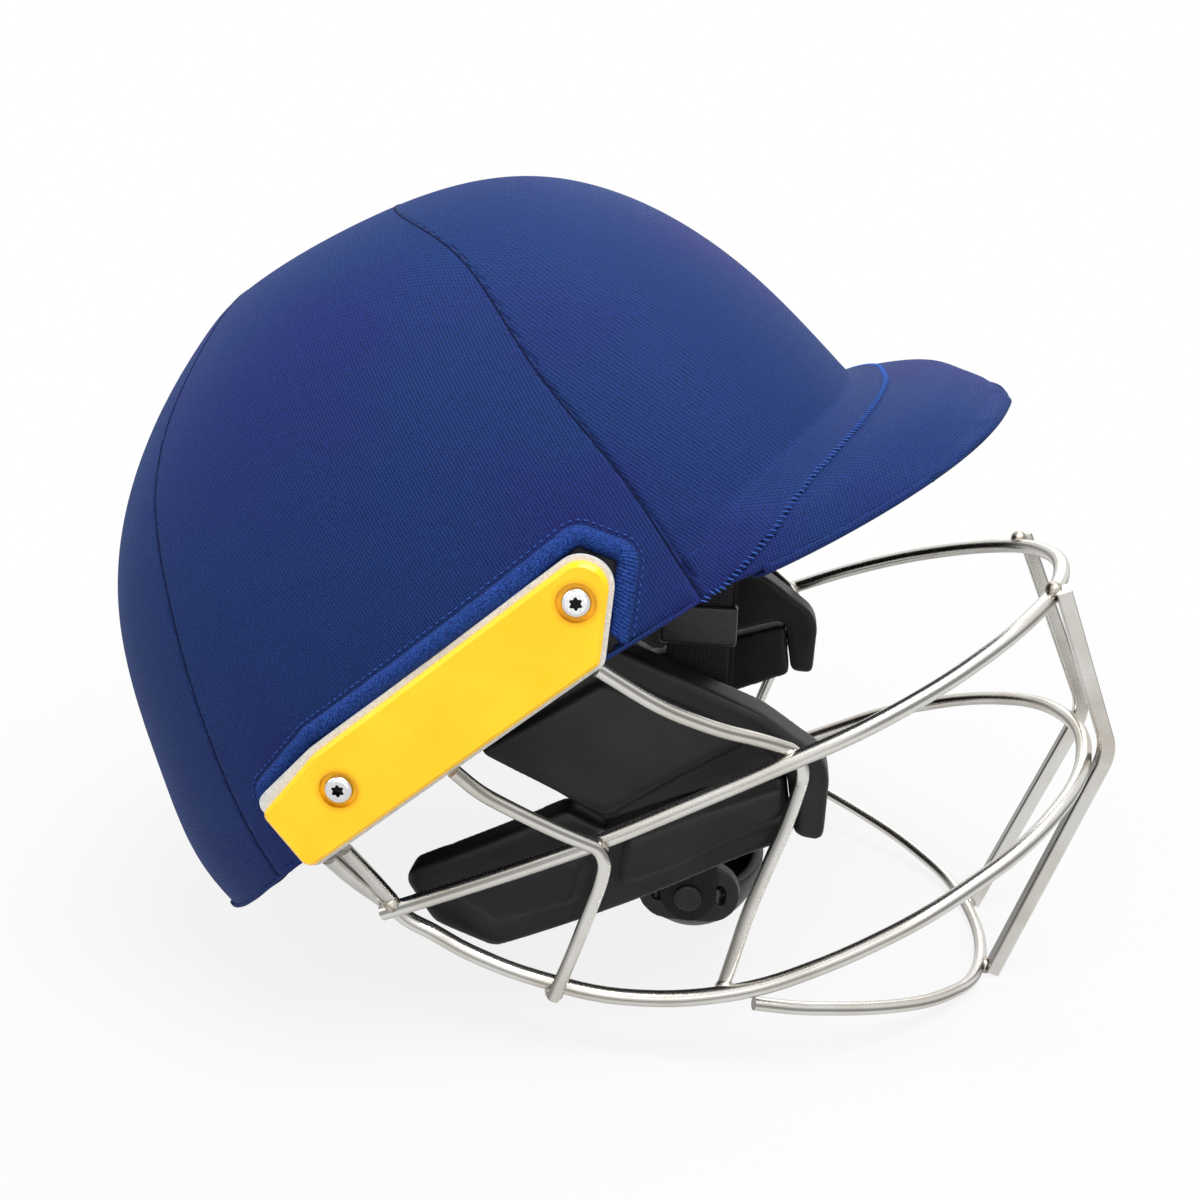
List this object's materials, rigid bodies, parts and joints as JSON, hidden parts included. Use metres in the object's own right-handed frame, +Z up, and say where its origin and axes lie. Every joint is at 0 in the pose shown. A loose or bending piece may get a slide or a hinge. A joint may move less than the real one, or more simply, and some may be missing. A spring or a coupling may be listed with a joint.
{
  "type": "cricket helmet",
  "caption": "Cloth-covered cricket helmet with a short peak, round-wire face guard, side plates, cheek pads and a chin cup.",
  "frame": {"origin": "middle of the bounding box on the surface that the helmet rests on, tipped back on its nape hem and its chin bar", "axes": "+X towards the wearer's front, +Y towards the wearer's left, +Z up"},
  "size_m": [0.3172, 0.2274, 0.2491],
  "materials": {
    "navy_knit": "fine knit stretch cloth",
    "navy_binding": "ribbed binding tape",
    "shell_plastic": "moulded",
    "liner_foam": "beaded foam",
    "lining_cloth": "brushed lining cloth",
    "yellow_plastic": "glossy",
    "grey_plastic": "satin",
    "bright_steel": "polished stainless",
    "satin_steel": "satin stainless wire",
    "black_foam": "moulded skin foam",
    "black_rubber": "moulded rubber",
    "stud_plastic": "moulded nylon",
    "black_webbing": "woven webbing"
  },
  "bodies": {
    "root": {"backing_plate_left": "grey_plastic", "backing_plate_right": "grey_plastic", "brow_pad": "lining_cloth", "chin_bar": "satin_steel", "crown_cover": "navy_knit", "crown_pad": "lining_cloth", "ear_pad_left": "black_foam", "ear_pad_right": "black_foam", "foam_liner": "liner_foam", "front_cover": "navy_knit", "front_strut_left": "satin_steel", "front_strut_right": "satin_steel", "front_upright_left": "satin_steel", "front_upright_right": "satin_steel", "jaw_bar": "satin_steel", "jaw_pad_left": "black_foam", "jaw_pad_right": "black_foam", "nape_pad": "lining_cloth", "opening_binding_left": "navy_binding", "opening_binding_right": "navy_binding", "outer_shell": "shell_plastic", "peak": "shell_plastic", "peak_cover": "navy_knit", "plate_nuts_left": "bright_steel", "plate_nuts_right": "bright_steel", "plate_screws_left": "bright_steel", "plate_screws_right": "bright_steel", "plate_spacers_left": "black_rubber", "plate_spacers_right": "black_rubber", "rear_cover": "navy_knit", "rear_strut_left": "satin_steel", "rear_strut_right": "satin_steel", "rim_hem": "navy_binding", "short_strut_left": "satin_steel", "short_strut_right": "satin_steel", "side_plate_left": "yellow_plastic", "side_plate_right": "yellow_plastic", "strap_stud_left": "stud_plastic", "strap_stud_right": "stud_plastic", "temple_pad_left": "lining_cloth", "temple_pad_right": "lining_cloth", "visor_bar": "satin_steel"},
    "chin_harness": {"chin_strap_right": "black_webbing", "chin_strap_left": "black_webbing"},
    "cup": {"chin_cup": "black_rubber"},
    "slider_right": {"strap_slider_right": "stud_plastic"},
    "slider_left": {"strap_slider_left": "stud_plastic"}
  },
  "joints": [
    {"name": "chin_strap_swing", "type": "hinge", "parent": "root", "child": "chin_harness", "pos_m": [0.02901, 0, 0.15128], "axis": [0, 1, 0], "range_deg": [-20, 35]},
    {"name": "chin_cup_rock", "type": "hinge", "parent": "chin_harness", "child": "cup", "pos_m": [0.02901, 0, 0.02828], "axis": [0, 1, 0], "range_deg": [-12, 12]},
    {"name": "strap_slider_right_slide", "type": "slide", "parent": "chin_harness", "child": "slider_right", "axis": [0, 0, 1], "range_m": [-0.012, 0.012]},
    {"name": "strap_slider_left_slide", "type": "slide", "parent": "chin_harness", "child": "slider_left", "axis": [0, 0, 1], "range_m": [-0.012, 0.012]}
  ]
}
